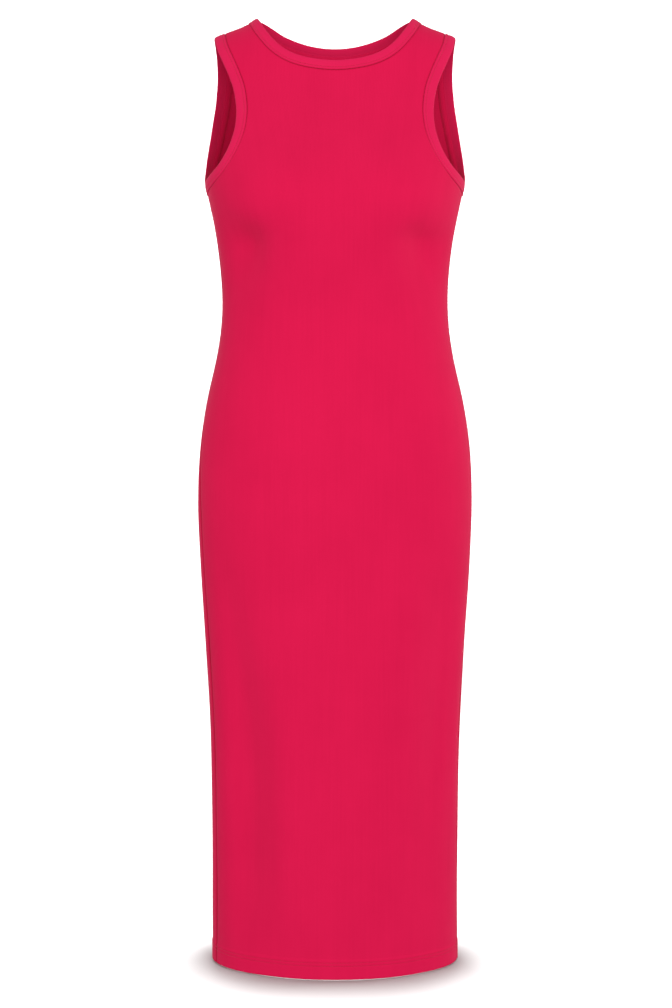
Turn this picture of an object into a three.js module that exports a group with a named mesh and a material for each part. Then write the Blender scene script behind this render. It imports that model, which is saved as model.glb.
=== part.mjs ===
// Sleeveless bodycon midi dress, filled out as it is when worn, with no wearer.
// Millimetres. X runs to the wearer's left, Y to the back, Z up.
// The origin lies midway between the shoulders, at the height of the straps.
import * as THREE from "three";

// Cloth and seams
const PANEL_WALL = 1.5;
const HEM_WALL = 2.9;
const HEM_TURN = 22;
const HEM_STEP = 3;
const HEM_SWELL = 0.7;
const SEAM_GAP = 0.3;
const NECK_BAND_WIDTH = 13;
const ARMHOLE_BAND_WIDTH = 14.8;
const BAND_THICK = 2.6;
const BAND_PROUD = 0.85;

// Heights
const HEM_Z = -1185;
const THIGH_Z = -680;
const UNDERARM_Z = -214;
const CAP_Z = -70;
const CAP_REACH = 75;
const RIDGE_Q = CAP_Z + (CAP_REACH * Math.PI) / 2;

// Both side seams lie a little forward of the side, and the one on the wearer's right swings
// further forward below the waist
const FORWARD_FULL_Z = -290;
const FORWARD_ANGLE = 0.14;
const SWING_TOP_Z = -400;
const SWING_FULL_Z = -640;
const SWING_ANGLE = 0.16;

// Columns and rows of each panel's grid
const STRAP_COLUMNS = 2;
const NECK_COLUMNS = 20;
const NECK_CLOSING = 1.2;
const SKIRT_ROWS = 10;
const BODY_ROWS = 16;
const CHEST_ROWS = 11;
const SCOOP_COLUMNS = { front: 6, back: 4 };

const CLOTH_COLOUR = 0xe11c4e;
const BAND_COLOUR = 0xe8265c;

// Level sections of the outer face. half is the half width, front and back are the depths
// from the side line, and frontSquare and backSquare say how square each half of the ring is.
const RINGS = [
  { z: -1185, half: 156.2, front: 103, back: 92, frontSquare: 2.0, backSquare: 2.0 },
  { z: -1037, half: 156.7, front: 100, back: 94, frontSquare: 2.0, backSquare: 2.0 },
  { z: -883, half: 159.7, front: 98.5, back: 98, frontSquare: 2.05, backSquare: 2.05 },
  { z: -781, half: 165.4, front: 101, back: 106, frontSquare: 2.1, backSquare: 2.1 },
  { z: -679, half: 172.1, front: 105.5, back: 120, frontSquare: 2.15, backSquare: 2.15 },
  { z: -602, half: 175.0, front: 111, back: 124, frontSquare: 2.2, backSquare: 2.2 },
  { z: -525, half: 171.1, front: 113, back: 109, frontSquare: 2.2, backSquare: 2.2 },
  { z: -474, half: 163.2, front: 110, back: 90, frontSquare: 2.15, backSquare: 2.15 },
  { z: -423, half: 151.7, front: 103, back: 74, frontSquare: 2.1, backSquare: 2.1 },
  { z: -382, half: 145.4, front: 100, back: 70, frontSquare: 2.1, backSquare: 2.1 },
  { z: -346, half: 143.8, front: 107, back: 73, frontSquare: 2.15, backSquare: 2.15 },
  { z: -300, half: 146.8, front: 121, back: 81, frontSquare: 2.2, backSquare: 2.2 },
  { z: -262, half: 152.0, front: 130, back: 88, frontSquare: 2.4, backSquare: 2.25 },
  { z: -227, half: 159.4, front: 130, back: 93, frontSquare: 2.5, backSquare: 2.3 },
  { z: -192, half: 167.0, front: 118, back: 95, frontSquare: 2.4, backSquare: 2.35 },
  { z: -155, half: 173.5, front: 101, back: 94, frontSquare: 2.35, backSquare: 2.35 },
  { z: -120, half: 177.5, front: 87, back: 90, frontSquare: 2.35, backSquare: 2.35 },
  { z: -70, half: 180.0, front: 70, back: 82, frontSquare: 2.35, backSquare: 2.35 },
  { z: -40, half: 180.0, front: 66, back: 78, frontSquare: 2.35, backSquare: 2.35 },
  { z: -5, half: 180.0, front: 64, back: 72, frontSquare: 2.35, backSquare: 2.35 },
  { z: 40, half: 180.0, front: 62, back: 66, frontSquare: 2.35, backSquare: 2.35 },
];

// Height of the shoulder line at each distance from the middle
const SHOULDER = [
  { x: 0, z: 58 },
  { x: 40, z: 46 },
  { x: 70, z: 32 },
  { x: 90, z: 19 },
  { x: 99, z: 12.5 },
  { x: 111, z: 5 },
  { x: 141, z: -7 },
  { x: 154, z: -12.5 },
  { x: 180, z: -27 },
];

// Seam of the neck band, from the middle of the front over the shoulder to the middle of the
// back, and seam of an armhole band, from the shoulder down the front and up the back.
const NECK_SHOULDER_X = 111;
const NECK_SEAM = {
  front: [
    { x: 0, z: -70.5 },
    { x: 30, z: -67.5 },
    { x: 52, z: -61.5 },
    { x: 70, z: -52 },
    { x: 84, z: -39.5 },
    { x: 96, z: -23.5 },
    { x: 104, z: -9.5 },
  ],
  back: [
    { x: 107, z: 5.7 },
    { x: 91.5, z: 3 },
    { x: 75, z: -4 },
    { x: 55, z: -10.5 },
    { x: 30, z: -16 },
    { x: 0, z: -18.3 },
  ],
};
const ARMHOLE_SHOULDER_X = 141;
const ARMHOLE_SEAM = {
  front: [
    { x: 135.5, z: -28 },
    { x: 127, z: -49.5 },
    { x: 117, z: -74 },
    { x: 109.8, z: -102 },
    { x: 108.3, z: -126 },
    { x: 112.5, z: -153 },
    { x: 123.5, z: -179 },
    { x: 137.3, z: -198 },
    { x: 151.5, z: -210 },
  ],
  back: [
    { x: 163.6, z: -206 },
    { x: 162.6, z: -188 },
    { x: 158.7, z: -162 },
    { x: 154, z: -137 },
    { x: 148.5, z: -107 },
    { x: 143.7, z: -77 },
    { x: 141.2, z: -49.8 },
    { x: 140.6, z: -26 },
  ],
};
// Rows of the tables above where the scoop under the arm ends and the upright run begins
const SCOOP_END = { front: 6, back: 2 };

// Soft troughs down the skirt. x is the middle of each at its top, lean is how far it drifts
// sideways by the hem. The doubled hem holds each to a share of its depth.
const HEM_HOLD = 0.45;
const HOLD_TOP_Z = -1080;
const FOLDS = [
  { side: "front", x: -90, lean: 4, top: -800, full: -960, width: 30, depth: 3.6 },
  { side: "front", x: 118, lean: -6, top: -690, full: -860, width: 27, depth: 3.0 },
  { side: "back", x: -64, lean: -8, top: -760, full: -930, width: 32, depth: 3.4 },
  { side: "back", x: 100, lean: 6, top: -840, full: -1010, width: 28, depth: 2.8 },
];

// Cross-section of a folded band. across is the distance from the seam as a share of the
// band's width, and rise is the height within its thickness, from 0 inside to 1 outside.
const BAND_SECTION = [
  { across: 0, rise: 0.8 },
  { across: 0.12, rise: 0.97 },
  { across: 0.5, rise: 1.0 },
  { across: 0.87, rise: 0.93 },
  { across: 0.98, rise: 0.72 },
  { across: 1.0, rise: 0.5 },
  { across: 0.98, rise: 0.28 },
  { across: 0.87, rise: 0.07 },
  { across: 0.12, rise: 0.0 },
  { across: 0, rise: 0.08 },
];

// Smooth curve through the rows of a table, as a function of the column named at
function through(rows, at, column) {
  const gap = rows.slice(1).map((r, i) => r[at] - rows[i][at]);
  const rise = rows.slice(1).map((r, i) => (r[column] - rows[i][column]) / gap[i]);
  const slope = rows.map((r, i) => {
    if (i === 0) return rise[0];
    if (i === rows.length - 1) return rise[i - 1];
    return (gap[i - 1] * rise[i] + gap[i] * rise[i - 1]) / (gap[i - 1] + gap[i]);
  });
  return (value) => {
    const v = THREE.MathUtils.clamp(value, rows[0][at], rows[rows.length - 1][at]);
    let i = 0;
    while (i < rows.length - 2 && v > rows[i + 1][at]) i += 1;
    const t = (v - rows[i][at]) / gap[i];
    const start = (1 + 2 * t) * (1 - t) ** 2 * rows[i][column];
    const end = t * t * (3 - 2 * t) * rows[i + 1][column];
    const bend = gap[i] * (t * (1 - t) ** 2 * slope[i] - t * t * (1 - t) * slope[i + 1]);
    return start + end + bend;
  };
}

const halfAt = through(RINGS, "z", "half");
const depthAt = { front: through(RINGS, "z", "front"), back: through(RINGS, "z", "back") };
const squareAt = {
  front: through(RINGS, "z", "frontSquare"),
  back: through(RINGS, "z", "backSquare"),
};
const shoulderAt = through(SHOULDER, "x", "z");

// A point of the outer form. theta goes round from the middle of the front over +X. Up to the
// cap q is the height, and above it q rolls over the shoulder line at RIDGE_Q.
function form(theta, q) {
  const side = Math.cos(theta) >= 0 ? "front" : "back";
  const level = Math.min(q, CAP_Z);
  const square = squareAt[side](level);
  const s = Math.sin(theta);
  const c = Math.cos(theta);
  const m = (Math.abs(s) ** square + Math.abs(c) ** square) ** (-1 / square);
  const x = halfAt(level) * m * s;
  const roll = Math.max(q - CAP_Z, 0) / CAP_REACH;
  const z = q > CAP_Z ? CAP_Z + (shoulderAt(Math.abs(x)) - CAP_Z) * Math.sin(roll) : q;
  const y = -depthAt[side](z) * m * c * Math.cos(roll);
  return new THREE.Vector3(x, y, z);
}

// Change of the form's point for each unit of theta and of q, and the outward normal
const PROBE_ANGLE = 1e-3;
const PROBE_Q = 0.1;
function frameAt(theta, q) {
  const round = form(theta + PROBE_ANGLE, q).sub(form(theta - PROBE_ANGLE, q));
  const up = form(theta, q + PROBE_Q).sub(form(theta, q - PROBE_Q));
  round.divideScalar(2 * PROBE_ANGLE);
  up.divideScalar(2 * PROBE_Q);
  return { round, up, normal: round.clone().cross(up).normalize() };
}

// The place on the form closest to where a short step from a node ends, found in a few rounds
const STEP_ROUNDS = 4;
function stepOn(node, step) {
  const goal = form(node.theta, node.q).add(step);
  let { theta, q } = node;
  for (let k = 0; k < STEP_ROUNDS; k += 1) {
    const { round, up } = frameAt(theta, q);
    const left = goal.clone().sub(form(theta, q));
    const rr = round.dot(round);
    const ru = round.dot(up);
    const uu = up.dot(up);
    const scale = rr * uu - ru * ru;
    const alongRound = left.dot(round);
    const alongUp = left.dot(up);
    theta += (alongRound * uu - alongUp * ru) / scale;
    q += (alongUp * rr - alongRound * ru) / scale;
  }
  return { theta, q };
}

// The place on the form of a point that lies on or near it
function placeOf(point, side) {
  const ahead = side === "front" ? -point.y : point.y;
  const level = Math.min(point.z, CAP_Z);
  const across = point.x / halfAt(level);
  if (point.z <= CAP_Z) {
    return { alpha: Math.atan2(across, ahead / depthAt[side](point.z)), q: point.z };
  }
  const square = squareAt[side](level);
  const ease = (1 - Math.min(Math.abs(across), 1) ** square) ** (1 / square);
  const lift = (point.z - CAP_Z) / (shoulderAt(Math.abs(point.x)) - CAP_Z);
  const roll = Math.atan2(lift, ahead / (depthAt[side](point.z) * ease));
  return { alpha: Math.atan2(across, ease), q: CAP_Z + CAP_REACH * roll };
}

// The point of the form that is seen at x and z from the front or from the back
function seenAt(x, z, side) {
  const level = Math.min(z, CAP_Z);
  const square = squareAt[side](level);
  const across = Math.min(Math.abs(x) / halfAt(level), 1);
  const ease = (1 - across ** square) ** (1 / square);
  const lift = z > CAP_Z ? (z - CAP_Z) / (shoulderAt(Math.abs(x)) - CAP_Z) : 0;
  const y = depthAt[side](z) * ease * Math.sqrt(Math.max(1 - lift * lift, 0));
  return new THREE.Vector3(x, side === "front" ? -y : y, z);
}

// Nodes along a stretch of a seam curve, from one of its knots to another. alpha is the angle
// from the middle of the side's panel, positive towards +X. They lie evenly when closing is 1,
// and closer together towards the end when it is over 1.
const FINE_STEPS = 40;
function seamNodes(curve, knots, from, to, side, count, closing = 1) {
  const steps = Math.abs(to - from) * FINE_STEPS;
  const places = [];
  const lengths = [0];
  let before = null;
  for (let i = 0; i <= steps; i += 1) {
    const knot = from + ((to - from) * i) / steps;
    const place = placeOf(curve.getPoint((knot / knots) % 1), side);
    const here = form(side === "front" ? place.alpha : Math.PI - place.alpha, place.q);
    if (before) lengths.push(lengths[i - 1] + here.distanceTo(before));
    places.push(place);
    before = here;
  }
  const nodes = [];
  let i = 0;
  for (let k = 0; k <= count; k += 1) {
    const goal = lengths[steps] * (1 - (1 - k / count) ** closing);
    while (i < steps - 1 && lengths[i + 1] < goal) i += 1;
    const t = (goal - lengths[i]) / (lengths[i + 1] - lengths[i]);
    nodes.push({
      alpha: THREE.MathUtils.lerp(places[i].alpha, places[i + 1].alpha, t),
      q: THREE.MathUtils.lerp(places[i].q, places[i + 1].q, t),
    });
  }
  return nodes;
}

const pointsOf = (rows, side) => rows.map((row) => seenAt(row.x, row.z, side));
const flipped = (rows) => rows.map((row) => ({ x: -row.x, z: row.z })).reverse();

function neckSeam() {
  const { front, back } = NECK_SEAM;
  const top = new THREE.Vector3(NECK_SHOULDER_X, 0, shoulderAt(NECK_SHOULDER_X));
  const points = [
    ...pointsOf(front, "front"),
    top,
    ...pointsOf(back, "back"),
    ...pointsOf(flipped(back.slice(0, -1)), "back"),
    top.clone().setX(-NECK_SHOULDER_X),
    ...pointsOf(flipped(front.slice(1)), "front"),
  ];
  const curve = new THREE.CatmullRomCurve3(points, true);
  const peak = front.length;
  const middle = peak + back.length;
  const half = NECK_COLUMNS / 2;
  return {
    front: seamNodes(curve, points.length, 0, peak, "front", half, NECK_CLOSING),
    back: seamNodes(curve, points.length, middle, peak, "back", half, NECK_CLOSING),
  };
}

function armholeSeam() {
  const { front, back } = ARMHOLE_SEAM;
  const top = new THREE.Vector3(ARMHOLE_SHOULDER_X, 0, shoulderAt(ARMHOLE_SHOULDER_X));
  const low = new THREE.Vector3(halfAt(UNDERARM_Z), 0, UNDERARM_Z);
  const points = [top, ...pointsOf(front, "front"), low, ...pointsOf(back, "back")];
  const curve = new THREE.CatmullRomCurve3(points, true);
  const under = 1 + front.length;
  const corner = { front: 1 + SCOOP_END.front, back: under + 1 + SCOOP_END.back };
  const peak = { front: 0, back: points.length };
  const run = (side) => ({
    scoop: seamNodes(curve, points.length, under, corner[side], side, SCOOP_COLUMNS[side]),
    upright: seamNodes(curve, points.length, corner[side], peak[side], side, CHEST_ROWS),
  });
  return { front: run("front"), back: run("back") };
}

const NECK = neckSeam();
const ARMHOLE = armholeSeam();

// How far the side seam at -X lies in front of the side line, as an angle
function forwardAt(z, onRight) {
  const forward = FORWARD_ANGLE * THREE.MathUtils.smoothstep(-z, -UNDERARM_Z, -FORWARD_FULL_Z);
  const swing = SWING_ANGLE * THREE.MathUtils.smoothstep(-z, -SWING_TOP_Z, -SWING_FULL_Z);
  return onRight ? forward + swing : forward;
}

// Heights of the rows below the armholes, from the hem to the underarm
function skirtHeights() {
  const heights = [HEM_Z, HEM_Z + HEM_TURN, HEM_Z + HEM_TURN + HEM_STEP];
  const start = heights[heights.length - 1];
  for (let j = 1; j <= SKIRT_ROWS; j += 1) {
    heights.push(THREE.MathUtils.lerp(start, THIGH_Z, j / SKIRT_ROWS));
  }
  for (let j = 1; j <= BODY_ROWS; j += 1) {
    heights.push(THREE.MathUtils.lerp(THIGH_Z, UNDERARM_Z, j / BODY_ROWS));
  }
  return heights;
}

// A grid of nodes between four edges, each a list of nodes, blended in alpha and q
function blendGrid(bottom, top, left, right) {
  const columns = bottom.length - 1;
  const rows = left.length - 1;
  const share = left.map((n) => (n.q - left[0].q) / (left[rows].q - left[0].q));
  const mix = (key, i, j) => {
    const u = i / columns;
    const v = share[j];
    const upDown = (1 - v) * bottom[i][key] + v * top[i][key];
    const sideways = (1 - u) * left[j][key] + u * right[j][key];
    const low = (1 - u) * bottom[0][key] + u * bottom[columns][key];
    const high = (1 - u) * top[0][key] + u * top[columns][key];
    return upDown + sideways - (1 - v) * low - v * high;
  };
  const row = (j) => bottom.map((n, i) => ({ alpha: mix("alpha", i, j), q: mix("q", i, j) }));
  return left.map((n, j) => row(j));
}

// Nodes spaced evenly in angle along a level line
function levelLine(from, to, count) {
  const at = (i, key) => THREE.MathUtils.lerp(from[key], to[key], i / count);
  return Array.from({ length: count + 1 }, (_, i) => ({ alpha: at(i, "alpha"), q: at(i, "q") }));
}

const mirrored = (nodes) => nodes.map((n) => ({ alpha: -n.alpha, q: n.q }));

// Height of the cloth over the form at a place of a panel
function foldAt(side, x, z) {
  let rise = 0;
  const hold = 1 - (1 - HEM_HOLD) * THREE.MathUtils.smoothstep(-z, -HOLD_TOP_Z, -HEM_Z);
  for (const fold of FOLDS) {
    if (fold.side !== side) continue;
    const down = THREE.MathUtils.smoothstep(-z, -fold.top, -fold.full);
    const middle = fold.x + (fold.lean * (fold.top - z)) / (fold.top - HEM_Z);
    rise -= fold.depth * hold * down * Math.exp(-(((x - middle) / fold.width) ** 2));
  }
  return rise;
}

// A closed wall from nodes with an outer and an inner height, and the quads between them
function wallGeometry(nodes, quads) {
  const outer = nodes.map((n) => form(n.theta, n.q).addScaledVector(n.normal, n.outer));
  const inner = nodes.map((n) => form(n.theta, n.q).addScaledVector(n.normal, n.inner));
  const count = nodes.length;
  const index = [];
  const edges = new Map();
  for (const [a, b, c, d] of quads) {
    const flat = outer[a].distanceTo(outer[c]) <= outer[b].distanceTo(outer[d]);
    const halves = flat ? [[a, b, c], [a, c, d]] : [[a, b, d], [b, c, d]];
    for (const [i, j, k] of halves) {
      index.push(i, j, k, i + count, k + count, j + count);
    }
    for (const [from, to] of [[a, b], [b, c], [c, d], [d, a]]) {
      if (!edges.delete(`${to},${from}`)) edges.set(`${from},${to}`, [from, to]);
    }
  }
  for (const [from, to] of edges.values()) {
    index.push(to, from, from + count, to, from + count, to + count);
  }
  const geometry = new THREE.BufferGeometry().setFromPoints([...outer, ...inner]);
  geometry.setIndex(index);
  geometry.computeVertexNormals();
  return geometry;
}

// A panel from hem to shoulder. Its grid has a wide block up to the scoops under the arms and
// a narrow one above them, and its columns run from the viewer's left to right.
function panelGeometry(side) {
  const turn = side === "front" ? 0 : Math.PI;
  const { scoop, upright } = ARMHOLE[side];
  const heights = skirtHeights();
  const quarter = Math.PI / 2;
  const inFront = side === "front";
  const sign = inFront ? 1 : -1;
  const left = heights.map((z) => ({ alpha: -quarter + sign * forwardAt(z, inFront), q: z }));
  const right = heights.map((z) => ({ alpha: quarter - sign * forwardAt(z, !inFront), q: z }));
  const chest = levelLine(mirrored(upright)[0], upright[0], NECK_COLUMNS + 2 * STRAP_COLUMNS);
  const skirtTop = [
    ...mirrored(scoop).slice(0, -1),
    ...chest,
    ...[...scoop].reverse().slice(1),
  ];
  const hem = levelLine(left[0], right[0], skirtTop.length - 1);
  const neckEnd = NECK[side][NECK[side].length - 1];
  const shoulder = levelLine(neckEnd, upright[CHEST_ROWS], STRAP_COLUMNS);
  const chestTop = [
    ...mirrored(shoulder).reverse().slice(0, -1),
    ...mirrored(NECK[side]).reverse().slice(0, -1),
    ...NECK[side],
    ...shoulder.slice(1),
  ];
  const skirt = blendGrid(hem, skirtTop, left, right);
  const bodice = blendGrid(chest, chestTop, mirrored(upright), upright);

  const nodes = [];
  const add = (place) => {
    const theta = place.alpha + turn;
    const { round, up, normal } = frameAt(theta, place.q);
    let { q } = place;
    let angle = theta;
    if (place.edge) angle += (place.edge * SEAM_GAP) / 2 / round.length();
    if (q > RIDGE_Q - 1e-6) q -= SEAM_GAP / 2 / up.length();
    const at = form(angle, q);
    const inHem = 1 - THREE.MathUtils.smoothstep(at.z, HEM_Z + HEM_TURN, HEM_Z + HEM_TURN + HEM_STEP);
    const rise = foldAt(side, at.x, at.z);
    nodes.push({
      theta: angle,
      q,
      normal,
      outer: rise + HEM_SWELL * inHem,
      inner: rise - THREE.MathUtils.lerp(PANEL_WALL, HEM_WALL - HEM_SWELL, inHem),
    });
    return nodes.length - 1;
  };
  const rows = skirt.map((row) => {
    row[0].edge = 1;
    row[row.length - 1].edge = -1;
    return row.map(add);
  });
  const reach = SCOOP_COLUMNS[side];
  const shared = rows[rows.length - 1].slice(reach, reach + chest.length);
  const upper = [shared, ...bodice.slice(1).map((row) => row.map(add))];
  const quads = [];
  for (const block of [rows, upper]) {
    for (let j = 1; j < block.length; j += 1) {
      for (let i = 1; i < block[j].length; i += 1) {
        quads.push([block[j - 1][i - 1], block[j - 1][i], block[j][i], block[j][i - 1]]);
      }
    }
  }
  return wallGeometry(nodes, quads);
}

// A folded band along a closed seam. inward is the side of the seam that the opening is on:
// 1 when it lies to the left of the way the loop runs, seen from outside.
function bandGeometry(loop, width, inward) {
  const count = loop.length;
  const spots = loop.map((n) => form(n.theta, n.q));
  const ring = loop.map((n, i) => {
    const ahead = spots[(i + 1) % count].clone().sub(spots[(i + count - 1) % count]).normalize();
    const { normal } = frameAt(n.theta, n.q);
    return normal.clone().cross(ahead).multiplyScalar(inward);
  });
  const points = [];
  const full = width - SEAM_GAP;
  loop.forEach((n, i) => {
    for (const { across, rise } of BAND_SECTION) {
      const place = stepOn(n, ring[i].clone().multiplyScalar(SEAM_GAP + full * across));
      const { normal } = frameAt(place.theta, place.q);
      const height = BAND_PROUD - BAND_THICK * (1 - rise);
      points.push(form(place.theta, place.q).addScaledVector(normal, height));
    }
  });
  const section = BAND_SECTION.length;
  const index = [];
  for (let i = 0; i < count; i += 1) {
    const here = i * section;
    const next = ((i + 1) % count) * section;
    for (let k = 0; k < section; k += 1) {
      const after = (k + 1) % section;
      const quad = [here + k, next + k, next + after, here + after];
      if (inward < 0) quad.reverse();
      const [a, b, c, d] = quad;
      index.push(a, b, c, a, c, d);
    }
  }
  const geometry = new THREE.BufferGeometry().setFromPoints(points);
  geometry.setIndex(index);
  geometry.computeVertexNormals();
  return geometry;
}

const placed = (nodes, side, sign) =>
  nodes.map((n) => ({ theta: side === "front" ? sign * n.alpha : Math.PI - sign * n.alpha, q: n.q }));

// The neck loop runs from the middle of the front over +X, the back and -X
function neckLoop() {
  const front = NECK.front;
  const back = NECK.back;
  return [
    ...placed(front, "front", 1),
    ...placed(back, "back", 1).reverse().slice(1),
    ...placed(back, "back", -1).slice(1),
    ...placed(front, "front", -1).reverse().slice(1, -1),
  ];
}

// An armhole loop runs from the underarm up the front, over the shoulder and down the back
function armholeLoop(sign) {
  const whole = (side) => [...ARMHOLE[side].scoop.slice(0, -1), ...ARMHOLE[side].upright];
  return [
    ...placed(whole("front"), "front", sign),
    ...placed(whole("back"), "back", sign).reverse().slice(1, -1),
  ];
}

function clothMesh(name, geometry, colour) {
  const material = new THREE.MeshStandardMaterial({ color: colour, roughness: 0.85, metalness: 0 });
  const mesh = new THREE.Mesh(geometry, material);
  mesh.name = name;
  return mesh;
}

const neck = bandGeometry(neckLoop(), NECK_BAND_WIDTH, 1);
const armhole = {
  left: bandGeometry(armholeLoop(1), ARMHOLE_BAND_WIDTH, -1),
  right: bandGeometry(armholeLoop(-1), ARMHOLE_BAND_WIDTH, 1),
};
const dress = new THREE.Group();
dress.name = "bodycon_dress";
dress.add(
  clothMesh("front_panel", panelGeometry("front"), CLOTH_COLOUR),
  clothMesh("back_panel", panelGeometry("back"), CLOTH_COLOUR),
  clothMesh("neck_band", neck, BAND_COLOUR),
  clothMesh("armhole_band_left", armhole.left, BAND_COLOUR),
  clothMesh("armhole_band_right", armhole.right, BAND_COLOUR),
);

export default dress;
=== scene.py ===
# Looks of a sleeveless close-fitting midi dress in stretch knit, filled out as worn, no wearer.
# The form is worked out in millimetres, as in the part's source, and add_mesh turns it to metres.
# X runs to the wearer's left, Y to the back, Z up.
import math

import bpy
import numpy as np
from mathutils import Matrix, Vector
from mathutils.kdtree import KDTree


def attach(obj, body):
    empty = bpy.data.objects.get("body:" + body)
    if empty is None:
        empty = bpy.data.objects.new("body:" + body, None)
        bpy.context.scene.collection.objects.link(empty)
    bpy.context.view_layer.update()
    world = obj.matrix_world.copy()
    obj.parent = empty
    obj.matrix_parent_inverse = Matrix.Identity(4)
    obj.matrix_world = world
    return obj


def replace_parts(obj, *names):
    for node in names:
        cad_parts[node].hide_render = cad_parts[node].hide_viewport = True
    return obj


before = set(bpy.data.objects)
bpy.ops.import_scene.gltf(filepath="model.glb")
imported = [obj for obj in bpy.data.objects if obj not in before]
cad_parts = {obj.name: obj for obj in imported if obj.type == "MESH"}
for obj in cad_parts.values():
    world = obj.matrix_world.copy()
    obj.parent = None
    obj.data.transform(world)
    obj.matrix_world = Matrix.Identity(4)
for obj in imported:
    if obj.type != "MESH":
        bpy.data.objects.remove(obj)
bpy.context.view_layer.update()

MM = 0.001

# Cloth and seams
CLOTH = 1.2
THINNEST = 0.35
HEM_SWELL = 0.7
HEM_INSIDE = 2.2
HEM_TURN = 22
HEM_STEP = 3
HEM_INSIDE_STEP = 0.8
SEAM_GAP = 0.3
NECK_BAND_WIDTH = 13
ARMHOLE_BAND_WIDTH = 14.8

# Heights
HEM_Z = -1185
UNDERARM_Z = -214
CAP_Z = -70
CAP_REACH = 75
RIDGE_Q = CAP_Z + CAP_REACH * math.pi / 2

# Both side seams lie a little forward of the side, and the one on the wearer's right swings
# further forward below the waist
FORWARD_FULL_Z = -290
FORWARD_ANGLE = 0.14
SWING_TOP_Z = -400
SWING_FULL_Z = -640
SWING_ANGLE = 0.16

# Level sections of the outer face, as in the part's source
RING_COLUMNS = ("z", "half", "front", "back", "front_square", "back_square")
RINGS = (
    (-1185, 156.2, 103, 92, 2.0, 2.0),
    (-1037, 156.7, 100, 94, 2.0, 2.0),
    (-883, 159.7, 98.5, 98, 2.05, 2.05),
    (-781, 165.4, 101, 106, 2.1, 2.1),
    (-679, 172.1, 105.5, 120, 2.15, 2.15),
    (-602, 175.0, 111, 124, 2.2, 2.2),
    (-525, 171.1, 113, 109, 2.2, 2.2),
    (-474, 163.2, 110, 90, 2.15, 2.15),
    (-423, 151.7, 103, 74, 2.1, 2.1),
    (-382, 145.4, 100, 70, 2.1, 2.1),
    (-346, 143.8, 107, 73, 2.15, 2.15),
    (-300, 146.8, 121, 81, 2.2, 2.2),
    (-262, 152.0, 130, 88, 2.4, 2.25),
    (-227, 159.4, 130, 93, 2.5, 2.3),
    (-192, 167.0, 118, 95, 2.4, 2.35),
    (-155, 173.5, 101, 94, 2.35, 2.35),
    (-120, 177.5, 87, 90, 2.35, 2.35),
    (-70, 180.0, 70, 82, 2.35, 2.35),
    (-40, 180.0, 66, 78, 2.35, 2.35),
    (-5, 180.0, 64, 72, 2.35, 2.35),
    (40, 180.0, 62, 66, 2.35, 2.35),
)
# Height over which the rings are blurred into one another
RING_BLUR = 12

# Height z of the shoulder line at each distance x from the middle
SHOULDER = (
    (0, 58), (40, 46), (70, 32), (90, 19), (99, 12.5), (111, 5), (141, -7), (154, -12.5), (180, -27),
)

# Seams of the bands, as x and z of points seen from the front or the back
NECK_SHOULDER_X = 111
NECK_SEAM = {
    "front": ((0, -70.5), (30, -67.5), (52, -61.5), (70, -52), (84, -39.5), (96, -23.5), (104, -9.5)),
    "back": ((107, 5.7), (91.5, 3), (75, -4), (55, -10.5), (30, -16), (0, -18.3)),
}
ARMHOLE_SHOULDER_X = 141
ARMHOLE_SEAM = {
    "front": (
        (135.5, -28), (127, -49.5), (117, -74), (109.8, -102), (108.3, -126),
        (112.5, -153), (123.5, -179), (137.3, -198), (151.5, -210),
    ),
    "back": (
        (163.6, -206), (162.6, -188), (158.7, -162), (154, -137),
        (148.5, -107), (143.7, -77), (141.2, -49.8), (140.6, -26),
    ),
}
SCOOP_END = {"front": 6, "back": 2}

# Troughs of the skirt that the part's source has too
HEM_HOLD = 0.45
HOLD_TOP_Z = -1080
FOLD_COLUMNS = ("side", "x", "lean", "top", "full", "width", "depth")
FOLDS = (
    ("front", -90, 4, -800, -960, 30, 3.6),
    ("front", 118, -6, -690, -860, 27, 3.0),
    ("back", -64, -8, -760, -930, 32, 3.4),
    ("back", 100, 6, -840, -1010, 28, 2.8),
)

# Creases and further troughs, each running softly from one point to another. across is measured
# round the cloth from the middle of its panel. A depth under 0 is a ridge.
CREASE_COLUMNS = ("side", "across_0", "z_0", "across_1", "z_1", "width", "depth")
CREASES = (
    ("front", -168, -262, -84, -306, 22, 3.0),
    ("front", 166, -266, 96, -302, 20, 2.6),
    ("front", -152, -252, -112, -272, 8, 0.7),
    ("front", 150, -240, 108, -262, 8, 0.6),
    ("front", -136, -366, -62, -388, 9, 0.8),
    ("front", 134, -390, 70, -404, 9, 0.7),
    ("front", -128, -414, -84, -420, 8, 0.5),
    ("front", -150, -560, -60, -598, 14, 0.6),
    ("front", 146, -575, 74, -604, 13, 0.5),
    ("front", -128, -620, -120, -1010, 15, 1.3),
    ("front", -112, -710, -108, -1170, 24, 8.0),
    ("front", -62, -760, -58, -1140, 20, -2.4),
    ("front", 114, -640, 110, -1010, 24, 5.2),
    ("front", 96, -600, 88, -900, 14, 1.0),
    ("front", 148, -700, 142, -1060, 12, 0.9),
    ("front", 10, -880, 22, -1120, 26, 0.7),
    ("back", -84, -366, 66, -374, 9, 2.3),
    ("back", -54, -396, 92, -390, 10, 2.7),
    ("back", -96, -426, 44, -417, 11, 2.1),
    ("back", 34, -452, 118, -440, 10, 0.8),
    ("back", -128, -330, -70, -352, 9, 0.8),
    ("back", 126, -322, 74, -346, 9, 0.7),
    ("back", -126, -676, -28, -716, 15, 2.4),
    ("back", 122, -668, 36, -712, 15, 2.1),
    ("back", -104, -740, -40, -752, 12, 0.7),
    ("back", -130, -176, -70, -232, 12, 1.4),
    ("back", 126, -168, 74, -226, 12, 1.2),
    ("back", 8, -800, 0, -1110, 22, 1.2),
    ("back", -128, -700, -122, -1040, 14, 1.1),
    ("back", 140, -660, 136, -980, 13, 0.9),
)
CREASE_BOW = 0.5
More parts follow.
